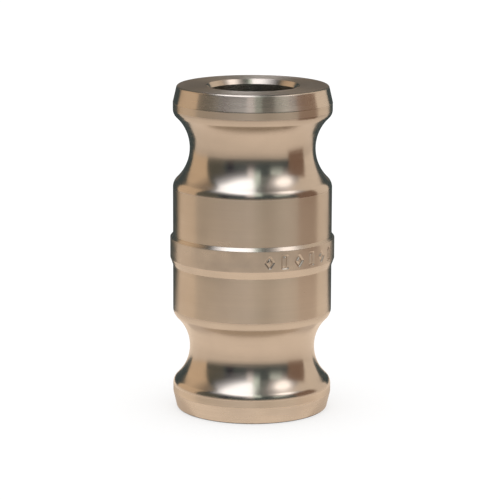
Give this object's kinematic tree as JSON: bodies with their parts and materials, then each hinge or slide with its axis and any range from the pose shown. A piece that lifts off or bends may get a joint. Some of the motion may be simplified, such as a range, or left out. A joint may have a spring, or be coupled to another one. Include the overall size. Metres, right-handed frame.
{
  "type": "cam and groove spool adapter",
  "caption": "One-piece turned stainless steel adapter with a grooved male cam end on each side of a round stop collar, and a straight flow bore through it.",
  "frame": {"origin": "on the bore's axis, in the middle of the overall length, which lies inside the stop collar", "axes": "+Z along the bore towards the end nearer the collar's short chamfer; -Y is the front, and the stamped marks run from the front towards +X"},
  "size_m": [0.0379, 0.0378, 0.0754],
  "materials": {
    "turned_steel": "fine turned, satin on the stop collar"
  },
  "bodies": {
    "root": {"spool_adapter": "turned_steel"}
  },
  "joints": []
}
